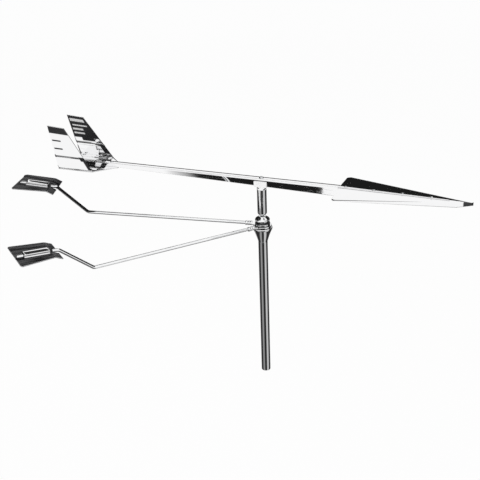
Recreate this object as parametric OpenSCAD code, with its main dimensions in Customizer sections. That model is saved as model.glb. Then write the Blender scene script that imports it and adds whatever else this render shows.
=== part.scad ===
// Masthead wind indicator: a balanced metal arrow that spins on a needle bearing,
// above two cranked reference arms that are clamped to a hub on a thin mast rod.
// Origin: the centre of the mast rod's foot. +Z runs up the mast, +X is the arrow's nose.

/* [Mast rod] */
// Diameter of the mast rod
rod_d = 9.5; // [7.9:0.1:14]
// Length of the rod from its foot to the hub cone
rod_len = 153; // [80:5:400]
// Diameter of the spigot at the rod's top
spigot_d = 6; // [5:0.1:7]
// Length of the spigot
spigot_len = 9; // [6:0.5:9.5]
// Tapping size of the hole in the rod's foot
foot_hole_d = 5; // [3:0.1:5.5]
// Depth of the hole in the rod's foot
foot_hole_depth = 16; // [8:1:30]

/* [Hub] */
// Height of the cone below the rim
cone_h = 13.4; // [11:0.2:20]
// Diameter of the rim
rim_d = 19.8; // [17:0.5:26]
// Height of the rim
rim_h = 2.2; // [1.5:0.1:4]
// Diameter of the spindle's lower shank, which the arm eyes and the nut sit on
shank_d = 4; // [3.5:0.1:5]
// Thickness of each friction washer
washer_t = 0.5; // [0.3:0.1:1]
// Diameter of the friction washers
washer_d = 15; // [12:0.5:16]
// Largest diameter of the dome nut
nut_d = 14.8; // [12:0.2:16.8]
// Height of the dome nut
nut_h = 7; // [6:0.2:12]
// Diameter of the set screw in the cone
set_screw_d = 2.5; // [2:0.5:3]
// Compass position of the set screw, from the nose
set_screw_az = 70; // [0:5:360]

/* [Needle bearing] */
// Diameter of the needle
needle_d = 2.4; // [1.8:0.1:3]
// Outside diameter of the bearing sleeve
sleeve_d = 9.5; // [7.9:0.1:14]
// Wall of the bearing sleeve
sleeve_wall = 1; // [0.8:0.1:1.5]
// Length of the bearing sleeve
sleeve_len = 30.4; // [24:0.2:50]
// Gap between the dome nut and the sleeve
sleeve_gap = 1.2; // [0.8:0.1:3]
// Height of the jewel cup
cup_h = 6; // [5:0.5:10]
// Height of the guide bush
bush_h = 4; // [3:0.5:6]

/* [Reference arms] */
// Diameter of the arm rods
arm_d = 3.2; // [2.4:0.1:4]
// Compass position of the port arm, from the nose, seen from above
port_arm_az = 190.8; // [186:0.2:196]
// Compass position of the starboard arm, from the nose, seen from above
starboard_arm_az = 233.4; // [228:0.2:245]
// Radius at which the arms bend upwards
arm_bend_r = 183; // [150:1:222]
// Height of that bend above the rod's end
arm_bend_z = 23.6; // [21:0.1:28]
// Radial run of the arms' cranked stretch, from that bend to the tab
crank_run = 31; // [24:1:40]
// Rise of the cranked stretch
crank_rise = 26.7; // [20:0.2:28]
// Centreline radius of the bends in the arm rods
arm_bend_curve = 6; // [4:0.5:12]
// Thickness of the arm eyes
eye_t = 1.6; // [1.2:0.1:2]
// Diameter of the lower eye, the starboard arm's
low_eye_d = 18.4; // [16:0.2:18.8]
// Diameter of the upper eye, the port arm's
high_eye_d = 15.6; // [14:0.2:18]
// Wall of the ferrule that holds the rod
ferrule_wall = 0.7; // [0.5:0.1:1]

/* [Tabs] */
// Length of a tab's flat part
tab_len = 32.8; // [24:0.2:48]
// Width of a tab at its front
tab_w_front = 27.8; // [22:0.2:36]
// Width of a tab at its outer end
tab_w_end = 33.2; // [26:0.2:42]
// How far the middle of a tab lies to the right of its rod
tab_offset = 2.1; // [0:0.1:3]
// Thickness of a tab
tab_t = 0.8; // [0.6:0.1:1.5]
// Upward slope of a tab towards its outer end
tab_slope = 5.5; // [0:0.1:7]
// Twist of a tab about its rod
tab_twist = 7.7; // [0:0.1:9]
// Length of the turned-down front lip
lip_len = 7.6; // [4:0.2:9]
// Angle of the front lip
lip_angle = 21.8; // [10:0.2:30]
// Length of the strap
strap_len = 23; // [16:1:26]
// Width of the strap
strap_w = 6.6; // [5.6:0.2:9]

/* [Vane beam] */
// Width of the beam's top
beam_w = 7.4; // [5.5:0.1:10]
// Sheet thickness of the beam
beam_t = 0.8; // [0.6:0.1:1]
// Height of the beam's top above the bearing sleeve
beam_rise = 9.2; // [8.2:0.1:12]
// Depth of the channel at the mast's axis
beam_depth = 7.6; // [5:0.1:8]
// Depth gained for each millimetre towards the nose
beam_taper = 0.0236; // [0.015:0.0005:0.025]
// Distance from the axis to the channel's front end
beam_front = 78.6; // [60:1:95]
// Distance from the axis to the tail plate's front end
beam_rear = 157; // [125:1:185]

/* [Arrowhead] */
// Distance from the channel's front end to the head's rear edge
head_gap = 0.4; // [0.1:0.1:6]
// Length of the head from its rear edge to the point
head_len = 125.5; // [100:0.5:155]
// Width of the head across its rear corners
head_w = 66; // [50:1:90]
// Sheet thickness of the head
head_t = 0.8; // [0.6:0.1:1.2]
// Depth of the rim at the rear
head_rim_rear = 1.2; // [1:0.1:3]
// Depth of the rim near the nose
head_rim_nose = 4.5; // [3.6:0.1:5.5]
// Depth of the rim at the point
head_rim_point = 2.2; // [1:0.1:3]
// Distance from the point to the rim's deepest place
rim_peak = 15; // [12:1:26]
// Drop of the head's top from the rear edge to the point
nose_drop = 2; // [0:0.1:4]

/* [Tail] */
// Length of the tail plate's flare, from its front end to the fins
flare_len = 20; // [14:0.5:34]
// Length of a fin at its foot
fin_base = 39.8; // [30:1:50]
// Distance between the fins at their feet
tail_w = 46; // [36:1:60]
// Sheet thickness of the tail plate
tail_t = 0.8; // [0.6:0.1:1.2]
// Width of a fin's foot
fin_foot = 6; // [4.5:0.5:9]
// Height of the fins above the tail plate's lower edge
fin_h = 43.6; // [30:0.2:60]
// Length of a fin's top edge
fin_top = 19.4; // [12:0.2:30]
// Sweep of a fin's leading edge from foot to top
fin_sweep = 30; // [10:0.5:40]
// Extra height of a fin's rear top corner
fin_rise = 1.4; // [0:0.1:4]
// Sheet thickness of a fin
fin_t = 0.8; // [0.6:0.1:1.2]
// Inward lean of a fin
fin_lean = 4.1; // [0:0.1:8]

/* [Hidden] */
$fn = 48;
fit = 0.02;         // radial clearance of pieces that are fixed in each other
running = 0.05;     // radial clearance of pieces that turn in each other
seat = 0.05;        // clearance between sheets that are riveted together
join = 0.3;         // how far a rod's straight stretch runs into its elbow
elbow_swell = 0.04; // what a bent stretch gains in diameter
rivet_d = 2;        // shank of every rivet
rivet_head_d = 3.4;
rivet_head_h = 0.5;

// Stations along the vane
head_rear = beam_front + head_gap;
nose = head_rear + head_len;
tail_front = beam_rear + flare_len;
tail_rear = tail_front + fin_base;

// Levels up the mast
cone_z = rod_len;
rim_z = cone_z + cone_h;
hub_z = rim_z + rim_h;
low_eye_z = hub_z + washer_t;
high_eye_z = low_eye_z + eye_t + washer_t;
nut_z = high_eye_z + eye_t + washer_t;
nut_top = nut_z + nut_h;
nut_wall = 1.4;     // what is left of the nut above the shank's hole
sleeve_z = nut_top + sleeve_gap;
sleeve_top = sleeve_z + sleeve_len;
beam_top = sleeve_top + beam_rise;

// Needle bearing
sleeve_bore = sleeve_d - 2 * sleeve_wall;
neck_h = 3;
neck_d = needle_d + 1.4;
plug_h = 3;
cup_z = sleeve_top - plug_h - cup_h;
cup_depth = 3;
needle_point = cup_z + cup_h - cup_depth;
point_h = 3;
bush_z = sleeve_z + neck_h + 0.5;

// Arms
tab_r = arm_bend_r + crank_run;
tab_z = arm_bend_z + crank_rise;
ferrule_d = arm_d + 2 * ferrule_wall;
ferrule_r0 = rim_d / 2 + 0.4;
ferrule_len = 7;
arm_start_r = ferrule_r0 + 1;
rod_on_tab = 9;     // bare stretch of the rod before the strap
strap_t = 0.8;      // sheet of the strap's top
arm_end = rod_on_tab + strap_len + 5;

// Vane
function channel_depth(x) = beam_depth + beam_taper * x;
head_top = beam_top - beam_t - seat;
tongue_front = nose - 22;
beam_end = tail_rear - 9;
tongue_tip_w = 2;
tail_top = beam_top - channel_depth(-beam_rear) - seat;
tail_bottom = tail_top - tail_t;
saddle_len = 13;
saddle_cheek = 0.9;
saddle_w = beam_w + 2 * (saddle_cheek + seat);
saddle_base = beam_top - channel_depth(-saddle_len / 2) + 0.5;
saddle_screw_d = 2.5;
nose_slope = nose_drop / (nose - head_rear);
function head_half(x) = head_w / 2 * (nose - x) / (nose - head_rear);
function head_level(x) = head_top - nose_slope * (x - head_rear);

// ---- Mast and hub ----

// Round rod with a chamfered foot, a tapped hole in the foot and a spigot on top
module mast_rod() {
    color("silver")
    difference() {
        union() {
            cylinder(h = 0.6, d1 = rod_d - 1.2, d2 = rod_d);
            translate([0, 0, 0.6]) cylinder(h = rod_len - 0.6, d = rod_d);
            translate([0, 0, rod_len]) cylinder(h = spigot_len, d = spigot_d);
        }
        translate([0, 0, -1]) cylinder(h = foot_hole_depth + 1, d = foot_hole_d);
    }
}

// Turned cone that opens from the rod to the rim, bored for the spigot and the spindle
module hub_cone() {
    bore_top = cone_z + spigot_len + 0.2;
    color("silver")
    difference() {
        union() {
            translate([0, 0, cone_z]) cylinder(h = cone_h, d1 = rod_d, d2 = rim_d - 0.6);
            translate([0, 0, rim_z]) cylinder(h = rim_h, d = rim_d);
        }
        translate([0, 0, cone_z - 1]) cylinder(h = bore_top - cone_z + 1, d = spigot_d + 2 * fit);
        translate([0, 0, bore_top - 1]) cylinder(h = hub_z - bore_top + 2, d = shank_d + 2 * fit);
        set_screw_place() cylinder(h = rim_d, d = set_screw_d + 2 * fit);
    }
}

// Radial place of the cone's set screw, from the spigot's surface outwards
module set_screw_place() {
    translate([0, 0, cone_z + spigot_len - 2.5]) rotate([0, 90, set_screw_az])
        translate([0, 0, spigot_d / 2 + 0.05]) children();
}

// Headless screw with a hexagon socket
module cone_set_screw() {
    screw_len = 3;
    color("dimgray")
    set_screw_place() difference() {
        cylinder(h = screw_len, d = set_screw_d);
        translate([0, 0, screw_len - 1]) cylinder(h = 2, d = set_screw_d / 2, $fn = 6);
    }
}

// Stepped pin: shank through the hub, needle above it, and a conical point
module spindle() {
    shank_z = cone_z + spigot_len + 0.4;
    color("gainsboro")
    rotate_extrude() polygon([
        [0, shank_z], [shank_d / 2, shank_z], [shank_d / 2, nut_top - nut_wall - 0.2],
        [needle_d / 2, nut_top - nut_wall - 0.2], [needle_d / 2, needle_point - point_h], [0, needle_point]]);
}

// Flat ring that lies around the spindle's shank
module shank_ring(z, t, d) {
    translate([0, 0, z]) difference() {
        cylinder(h = t, d = d);
        translate([0, 0, -1]) cylinder(h = t + 2, d = shank_d + 2 * running);
    }
}

module friction_washers() {
    color("whitesmoke")
    for (z = [hub_z, low_eye_z + eye_t, high_eye_z + eye_t]) shank_ring(z, washer_t, washer_d);
}

// Round nut with a narrow waist, a rounded bulge and a conical top
module dome_nut() {
    waist = nut_d * 0.42;
    bulge = nut_d / 2;
    crown = nut_d * 0.24;
    round = 1.2;
    bulge_z = nut_z + nut_h * 0.46;
    color("silver")
    difference() {
        union() {
            rotate_extrude() polygon([
                [0, nut_z], [waist, nut_z], [waist, nut_z + 0.9], [bulge - round / 2, bulge_z - round],
                [bulge - round / 2, bulge_z + round], [crown, nut_top], [0, nut_top]]);
            rotate_extrude() translate([bulge - round, bulge_z]) circle(round);
        }
        translate([0, 0, nut_z - 1]) cylinder(h = nut_h + 1 - nut_wall, d = shank_d + 2 * fit);
        translate([0, 0, nut_z]) cylinder(h = nut_h + 2, d = needle_d + 2 * running);
    }
}

// ---- Reference arms ----

// Stamped teardrop eye with a ferrule: the arm's own frame has +X along the arm
module arm_eye(z, d) {
    mid = z + eye_t / 2;
    root = d * 0.28;
    color("silver")
    difference() {
        union() {
            translate([0, 0, z]) cylinder(h = eye_t, d = d);
            translate([0, 0, z]) linear_extrude(eye_t) polygon([
                [root, -root], [ferrule_r0 + 1, -ferrule_d / 2], [ferrule_r0 + 1, ferrule_d / 2], [root, root]]);
            translate([ferrule_r0, 0, mid]) rotate([0, 90, 0]) cylinder(h = ferrule_len, d = ferrule_d);
        }
        translate([0, 0, z - 1]) cylinder(h = eye_t + 2, d = shank_d + 2 * running);
        translate([arm_start_r, 0, mid]) arm_direction(mid)
            cylinder(h = ferrule_len + 3, d = arm_d + 2 * fit);
    }
}

// Turns +Z to point along the arm's inner stretch, which climbs from the eye to the bend
function arm_climb(mid) = atan2(cone_z + arm_bend_z - mid, arm_bend_r - arm_start_r);
module arm_direction(mid) {
    rotate([0, 90 - arm_climb(mid), 0]) children();
}

// Round rod along straight stretches in the XZ plane, joined by elbows of one radius.
// p holds the corners as [x, z]; each elbow touches both of its stretches.
function dir2(a, b) = (b - a) / norm(b - a);
function turn(a, b, c) = let (u = dir2(a, b), v = dir2(b, c)) atan2(u[0] * v[1] - u[1] * v[0], u * v);
function setback(a, b, c, r) = r * tan(abs(turn(a, b, c)) / 2);
module bent_rod(p, d, r) {
    n = len(p);
    for (i = [0:n - 2]) {
        u = dir2(p[i], p[i + 1]);
        // each stretch runs a little way into its elbows, so that they join
        cut0 = i == 0 ? 0 : setback(p[i - 1], p[i], p[i + 1], r) - join;
        cut1 = i == n - 2 ? 0 : setback(p[i], p[i + 1], p[i + 2], r) - join;
        start = p[i] + u * cut0;
        translate([start[0], 0, start[1]]) rotate([0, 90 - atan2(u[1], u[0]), 0])
            cylinder(h = norm(p[i + 1] - p[i]) - cut0 - cut1, d = d);
    }
    for (i = [1:n - 2]) elbow(p[i - 1], p[i], p[i + 1], d + elbow_swell, r);
}
module elbow(a, b, c, d, r) {
    t = turn(a, b, c);
    u = dir2(a, b);
    side = t > 0 ? 1 : -1;
    start = b - u * setback(a, b, c, r);
    centre = start + side * r * [-u[1], u[0]];
    from = atan2(start[1] - centre[1], start[0] - centre[0]);
    // the elbow is swept in the XY plane and stood up, so that Y becomes Z
    translate([centre[0], 0, centre[1]]) rotate([90, 0, 0])
        rotate([0, 0, t > 0 ? from : from + t])
            rotate_extrude(angle = abs(t)) translate([r, 0]) circle(d = d);
}

// Corners of an arm rod: eye, lower bend, tab, and the rod's end on the tab
function arm_corners(mid) = [
    [arm_start_r, mid],
    [arm_bend_r, cone_z + arm_bend_z],
    [tab_r, cone_z + tab_z],
    [tab_r + arm_end * cos(tab_slope), cone_z + tab_z + arm_end * sin(tab_slope)]];

module arm_rod(mid) {
    color("gainsboro") bent_rod(arm_corners(mid), arm_d, arm_bend_curve);
}

// The tab's frame: origin on the rod's axis at the tab's start, +X along the rod
module on_tab() {
    translate([tab_r, 0, cone_z + tab_z]) rotate([-tab_twist, -tab_slope, 0]) children();
}

// Flat sheet at the rod's level, wider at its outer end, with a turned-down front lip and
// a long slot for the rod. It lies a little to one side of the rod.
tab_top = tab_t / 2;
slot_w = arm_d + 4 * seat;
module tab() {
    corner = 2;
    drop = lip_len * sin(lip_angle);
    run = lip_len * cos(lip_angle);
    end = run + tab_len;
    top = tab_top;
    half_front = tab_w_front / 2;
    half_end = tab_w_end / 2;
    window = 1;
    color("#2b2b2e")
    on_tab() difference() {
        intersection() {
            side_prism([[0, top - drop], [run, top], [end, top], [end, top - tab_t],
                        [run + 0.15, top - tab_t], [0.3, top - drop - tab_t]], 2 * tab_w_end);
            translate([0, -tab_offset, top - 20]) linear_extrude(40) {
                polygon([[-1, -half_front], [run, -half_front], [end - corner, -half_end],
                         [end - corner, half_end], [run, half_front], [-1, half_front]]);
                translate([end - corner - 0.01, -half_end + corner])
                    square([corner + 0.01, 2 * (half_end - corner)]);
                for (s = [-1, 1]) translate([end - corner, s * (half_end - corner)]) circle(corner);
            }
        }
        // the slot is open at the front, where the rod comes up through the lip
        translate([-1, -slot_w / 2, -20]) cube([arm_end + 1 + window, slot_w, 40]);
    }
}

// Pressed strap: a long hat over the rod, whose legs stand on the tab beside the slot
module tab_strap() {
    foot = tab_top + seat / 2;
    inside = arm_d / 2 + seat;
    roof = inside + strap_t;
    half = strap_w / 2;
    color("gainsboro")
    on_tab() translate([rod_on_tab, 0, 0]) rotate([90, 0, 90]) linear_extrude(strap_len) polygon([
        [-half, foot], [-half + strap_t, roof], [half - strap_t, roof], [half, foot],
        [inside, foot], [inside, inside], [-inside, inside], [-inside, foot]]);
}

module place_arm(az) {
    rotate([0, 0, az]) children();
}
port_mid = high_eye_z + eye_t / 2;
starboard_mid = low_eye_z + eye_t / 2;
module port_arm_eye() { place_arm(port_arm_az) arm_eye(high_eye_z, high_eye_d); }
module port_arm_rod() { place_arm(port_arm_az) arm_rod(port_mid); }
module port_tab() { place_arm(port_arm_az) tab(); }
module port_tab_strap() { place_arm(port_arm_az) tab_strap(); }
module starboard_arm_eye() { place_arm(starboard_arm_az) arm_eye(low_eye_z, low_eye_d); }
module starboard_arm_rod() { place_arm(starboard_arm_az) arm_rod(starboard_mid); }
module starboard_tab() { place_arm(starboard_arm_az) tab(); }
module starboard_tab_strap() { place_arm(starboard_arm_az) tab_strap(); }

// ---- Vane ----

// Prism with its outline in the XZ plane, centred on the XZ plane, w wide
module side_prism(points, w) {
    translate([0, w / 2, 0]) rotate([90, 0, 0]) linear_extrude(w) polygon(points);
}

head_rivet_x = [for (i = [0:3]) head_rear + 6 + i * (tongue_front - head_rear - 22) / 3];
tail_rivet_x = [for (i = [0:2]) -beam_rear - 9 - i * (beam_end - beam_rear - 15) / 2];

// Inverted channel that deepens towards the nose and lies on the tail plate behind,
// with a flat tongue over the head
module vane_beam() {
    heel = tail_top + seat;
    color("silver")
    difference() {
        union() {
            difference() {
                side_prism([[-beam_end, beam_top], [-beam_end, heel], [-beam_rear, heel],
                            [beam_front, beam_top - channel_depth(beam_front)],
                            [beam_front, beam_top]], beam_w);
                translate([-beam_end - 1, -beam_w / 2 + beam_t, beam_top - 30])
                    cube([beam_end + beam_front + 2, beam_w - 2 * beam_t, 30 - beam_t]);
            }
            front_tongue();
        }
        for (x = head_rivet_x) rivet_hole(x);
        for (x = tail_rivet_x) rivet_hole(x);
        translate([0, 0, beam_top - beam_t - 1]) cylinder(h = beam_t + 2, d = saddle_screw_d + 2 * running);
    }
}

// Flat tongue that follows the head's slope and narrows towards the nose
module front_tongue() {
    intersection() {
        translate([0, 0, beam_top - 20]) linear_extrude(30) polygon([
            [beam_front - 0.01, -beam_w / 2], [tongue_front, -tongue_tip_w / 2],
            [tongue_front, tongue_tip_w / 2], [beam_front - 0.01, beam_w / 2]]);
        side_prism([[beam_front - 0.01, beam_top - beam_t], [head_rear, beam_top - beam_t],
                    [tongue_front, head_level(tongue_front) + seat],
                    [tongue_front, head_level(tongue_front) + seat + beam_t],
                    [head_rear, beam_top], [beam_front - 0.01, beam_top]], beam_w + 1);
    }
}

module rivet_hole(x) {
    translate([x, 0, beam_top - 10]) cylinder(h = 12, d = rivet_d + 2 * running);
}

// Upright rivet: shank, low domed head above and a flat set head below
module rivet(top, bottom) {
    translate([0, 0, bottom - rivet_head_h]) cylinder(h = rivet_head_h, d = rivet_head_d - 0.4);
    translate([0, 0, bottom - 0.01]) cylinder(h = top - bottom + 0.02, d = rivet_d);
    translate([0, 0, top]) cylinder(h = rivet_head_h, d1 = rivet_head_d, d2 = rivet_head_d * 0.5);
}

// Triangular sheet with rounded rear corners and a rim that deepens towards the nose
module head_outline(inset) {
    corner = 4;
    edge = atan2(head_w / 2, nose - head_rear);
    half = head_w / 2 - inset / cos(edge) - inset * tan(edge);
    tip = nose - inset / sin(edge);
    rear = head_rear + inset;
    difference() {
        polygon([[rear, -half], [tip, 0], [rear, half]]);
        if (inset == 0) for (s = [-1, 1]) head_corner(rear, s * half, s * corner, edge);
    }
}
// What the rounding takes off one rear corner
module head_corner(x, y, r, edge) {
    reach = abs(r) / tan((90 - edge) / 2);
    difference() {
        polygon([[x - 1, y + r], [x - 1, y - sign(r) * reach],
                 [x, y - sign(r) * reach], [x + reach * cos(edge), y - sign(r) * reach * sin(edge)],
                 [x + reach * cos(edge) + 1, y + r]]);
        translate([x + abs(r), y - sign(r) * reach]) circle(abs(r));
    }
}
// Slice of the head in side view: from its sloping top, raised by above, down to the rim's edge
module head_side(rim_rear, rim_deep, rim_point, above) {
    back = head_rear - 1;
    peak = nose - rim_peak;
    side_prism([[back, head_level(back) - rim_rear], [peak, head_level(peak) - rim_deep],
                [nose + 1, head_level(nose + 1) - rim_point],
                [nose + 1, head_level(nose + 1) + above], [back, head_level(back) + above]], head_w + 10);
}
module arrowhead() {
    color("silver")
    difference() {
        intersection() {
            translate([0, 0, head_top - 20]) linear_extrude(40) head_outline(0);
            head_side(head_rim_rear, head_rim_nose, head_rim_point, 0);
        }
        intersection() {
            translate([0, 0, head_top - 20]) linear_extrude(40) head_outline(head_t);
            head_side(20, 20, 20, -head_t);
        }
        for (x = head_rivet_x) rivet_hole(x);
    }
}

// Solid wedge glued under the nose
module nose_weight() {
    front = nose - 12;
    back = nose - 32;
    side = 1.6;
    weight_z = head_t + 1.6;
    color("dimgray")
    intersection() {
        translate([0, 0, head_top - 20]) linear_extrude(40) polygon([
            [back, -head_half(back) + side], [front, -head_half(front) + side],
            [front, head_half(front) - side], [back, head_half(back) - side]]);
        head_side(weight_z, weight_z, weight_z, -head_t - 0.02);
    }
}

module head_rivets() {
    color("gainsboro")
    for (x = head_rivet_x)
        translate([x, 0, 0]) rivet(head_level(x) + seat + beam_t + nose_slope * rivet_head_d / 2,
                                   head_level(x) - head_t - nose_slope * rivet_head_d / 2);
}

// Flat sheet under the rear of the channel, which flares at its front to the fins' width
module tail_plate() {
    half = tail_w / 2;
    tip = beam_w / 2;
    color("silver")
    difference() {
        translate([0, 0, tail_bottom]) linear_extrude(tail_t) polygon([
            [-beam_rear, -tip], [-tail_front, -half], [-tail_rear, -half],
            [-tail_rear, half], [-tail_front, half], [-beam_rear, tip]]);
        for (x = tail_rivet_x) rivet_hole(x);
        for (s = [-1, 1]) fin_rivet_places(s) cylinder(h = 8, d = rivet_d + 2 * running, center = true);
    }
}

module tail_rivets() {
    color("gainsboro")
    for (x = tail_rivet_x) translate([x, 0, 0]) rivet(beam_top, tail_bottom);
}

// Rivets through the fins' feet: s is +1 to port and -1 to starboard
module fin_rivet_places(s) {
    for (x = [-tail_front - 8, -tail_rear + 6])
        translate([x, s * (tail_w / 2 - fin_foot * 0.55), tail_bottom]) children();
}
module fin_rivets() {
    color("gainsboro")
    for (s = [-1, 1]) fin_rivet_places(s) rivet(tail_t + seat + fin_t, 0);
}

// Swept fin: a foot that lies on the tail plate, and a panel that leans inwards
module fin(s) {
    foot_z = tail_top + seat;
    rise = fin_h - tail_t - seat;
    top_front = -tail_front - fin_sweep;
    color("silver")
    difference() {
        translate([0, s * tail_w / 2, foot_z]) {
            rotate([s * fin_lean, 0, 0]) fin_sheet(s, [
                [-tail_front, 0], [top_front, rise / cos(fin_lean)],
                [top_front - fin_top, (rise + fin_rise) / cos(fin_lean)], [-tail_rear, 0]]);
            linear_extrude(fin_t) polygon([
                [-tail_front - 1, 0], [-tail_front - 4, -s * fin_foot],
                [-tail_rear + 2, -s * fin_foot], [-tail_rear, 0]]);
        }
        fin_rivet_places(s) cylinder(h = 8, d = rivet_d + 2 * running, center = true);
        // trims what the lean pushes below the foot
        translate([-tail_rear - 60, s * tail_w / 2 - 10, foot_z - 5]) cube([fin_base + 80, 20, 5]);
    }
}
// A fin's sheet from its outer face inwards
module fin_sheet(s, points) {
    translate([0, s > 0 ? 0 : fin_t, 0]) rotate([90, 0, 0]) linear_extrude(fin_t) polygon(points);
}
module port_fin() { fin(1); }
module starboard_fin() { fin(-1); }

// Forked block: a plug in the sleeve, a base, two cheeks beside the channel and a tongue in it
module pivot_saddle() {
    inner_w = beam_w - 2 * beam_t - 2 * seat;
    color("silver")
    difference() {
        union() {
            translate([0, 0, sleeve_top - plug_h]) cylinder(h = plug_h + 0.01, d = sleeve_bore - 2 * fit);
            translate([0, 0, sleeve_top]) cylinder(h = saddle_base - sleeve_top - 1, d = sleeve_d);
            difference() {
                translate([-saddle_len / 2, -saddle_w / 2, sleeve_top + 0.6])
                    cube([saddle_len, saddle_w, saddle_base - sleeve_top + 3.4]);
                side_prism([for (p = [[-20, 0], [20, 0], [20, 20], [-20, 20]])
                    [p[0], p[1] + beam_top - channel_depth(p[0]) - seat]], beam_w + 2 * seat);
            }
            translate([-saddle_len / 2, -inner_w / 2, sleeve_top + 0.6])
                cube([saddle_len, inner_w, beam_top - beam_t - seat - sleeve_top - 0.6]);
        }
        translate([0, 0, beam_top - 6]) cylinder(h = 10, d = saddle_screw_d + 2 * fit);
    }
}

// Pan-head screw through the beam's top
module saddle_screw() {
    color("dimgray")
    difference() {
        union() {
            translate([0, 0, beam_top - 5.5]) cylinder(h = 5.6, d = saddle_screw_d);
            translate([0, 0, beam_top]) cylinder(h = 1, d1 = 4.8, d2 = 3.6);
        }
        translate([-4, -0.3, beam_top + 0.5]) cube([8, 0.6, 2]);
    }
}

// Tube over the needle, necked in at its lower end and open at its top
module bearing_sleeve() {
    color("silver")
    difference() {
        union() {
            translate([0, 0, sleeve_z]) cylinder(h = neck_h, d1 = neck_d + 2.2, d2 = sleeve_d);
            translate([0, 0, sleeve_z + neck_h]) cylinder(h = sleeve_len - neck_h, d = sleeve_d);
        }
        translate([0, 0, sleeve_z - 1]) cylinder(h = neck_h + 2, d = neck_d);
        translate([0, 0, sleeve_z + neck_h + 0.5]) cylinder(h = sleeve_len, d = sleeve_bore);
    }
}

// Cup with a conical seat, which hangs the vane on the needle's point
module jewel_cup() {
    point_angle_r = needle_d / 2;
    color("goldenrod")
    difference() {
        translate([0, 0, cup_z]) cylinder(h = cup_h - 0.05, d = sleeve_bore - 2 * fit);
        translate([0, 0, needle_point - point_h + 0.05])
            cylinder(h = point_h, d1 = point_angle_r * 2 + 0.8, d2 = 0.3);
        translate([0, 0, cup_z - 1])
            cylinder(h = needle_point - point_h - cup_z + 1.06, d = needle_d + 0.8);
    }
}

module guide_bush() {
    color("burlywood")
    translate([0, 0, bush_z]) difference() {
        cylinder(h = bush_h, d = sleeve_bore - 2 * fit);
        translate([0, 0, -1]) cylinder(h = bush_h + 2, d = needle_d + 2 * running);
    }
}

mast_rod();
hub_cone();
spindle();
friction_washers();
dome_nut();
cone_set_screw();
port_arm_eye();
port_arm_rod();
port_tab();
port_tab_strap();
starboard_arm_eye();
starboard_arm_rod();
starboard_tab();
starboard_tab_strap();
vane_beam();
arrowhead();
nose_weight();
head_rivets();
tail_plate();
tail_rivets();
port_fin();
starboard_fin();
fin_rivets();
pivot_saddle();
saddle_screw();
bearing_sleeve();
jewel_cup();
guide_bush();
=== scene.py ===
import math

import bmesh
import bpy
import numpy as np
from mathutils import Matrix, Vector


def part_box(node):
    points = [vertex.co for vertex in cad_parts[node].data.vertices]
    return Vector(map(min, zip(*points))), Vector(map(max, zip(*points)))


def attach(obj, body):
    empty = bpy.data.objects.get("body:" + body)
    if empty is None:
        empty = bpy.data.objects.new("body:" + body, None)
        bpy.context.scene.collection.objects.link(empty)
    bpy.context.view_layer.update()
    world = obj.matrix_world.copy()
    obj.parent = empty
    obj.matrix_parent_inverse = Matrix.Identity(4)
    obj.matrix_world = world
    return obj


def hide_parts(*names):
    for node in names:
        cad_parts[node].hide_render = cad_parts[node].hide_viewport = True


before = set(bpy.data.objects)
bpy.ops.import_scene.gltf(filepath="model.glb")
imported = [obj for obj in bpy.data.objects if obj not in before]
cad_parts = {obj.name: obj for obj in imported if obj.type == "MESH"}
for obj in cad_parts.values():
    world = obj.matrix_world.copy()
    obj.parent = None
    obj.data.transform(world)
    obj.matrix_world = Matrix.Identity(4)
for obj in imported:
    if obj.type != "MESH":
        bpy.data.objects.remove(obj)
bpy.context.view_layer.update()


# ---- Mast rod ----
# A straight rod of round steel, chromium plated. Its foot is chamfered and tapped M6, and
# its top is turned down to a spigot that the hub cone is pressed on.

def cad(node):
    """The lowest and highest corner of a CAD node at rest, in millimetres."""
    low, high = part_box(node)
    return np.array(low) * 1000, np.array(high) * 1000


def arc(centre, radius, start, end, steps):
    """Points on a circle in a plane: the centre plus the radius times cosine and sine of
    angles in even steps from start to end, in degrees."""
    a = np.radians(np.linspace(start, end, steps))
    return np.stack([centre[0] + radius * np.cos(a), centre[1] + radius * np.sin(a)], 1)


def grid_faces(rows, columns, around):
    """Quads between neighbours of a grid of points. Where it closes around, the last
    column's neighbour is the first."""
    i, j = np.meshgrid(np.arange(rows - 1), np.arange(columns if around else columns - 1), indexing="ij")
    k = (j + 1) % columns
    return np.stack([i * columns + j, i * columns + k, (i + 1) * columns + k, (i + 1) * columns + j],
                    -1).reshape(-1, 4)


def mesh_piece(name, points, faces, fields=None):
    """A mesh object from points in millimetres and quads, merged where points meet, and
    with its faces turned outwards. Each field is a named value per point, kept as an
    attribute that a material can read."""
    mesh = bpy.data.meshes.new(name)
    mesh.from_pydata((np.asarray(points).reshape(-1, 3) / 1000).tolist(), [], faces.tolist())
    for field, values in (fields or {}).items():
        mesh.attributes.new(field, "FLOAT", "POINT").data.foreach_set("value", np.ravel(values))
    work = bmesh.new()
    work.from_mesh(mesh)
    bmesh.ops.remove_doubles(work, verts=work.verts, dist=1e-7)
    bmesh.ops.dissolve_degenerate(work, dist=1e-8, edges=work.edges)
    loose = [v for v in work.verts if not v.link_faces]
    bmesh.ops.delete(work, geom=loose, context="VERTS")
    if all(e.is_manifold for e in work.edges):
        bmesh.ops.recalc_face_normals(work, faces=work.faces)
    work.to_mesh(mesh)
    work.free()
    mesh.shade_smooth()
    mesh.set_sharp_from_angle(angle=math.radians(38))
    piece = bpy.data.objects.new(name, mesh)
    bpy.context.collection.objects.link(piece)
    return piece


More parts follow.
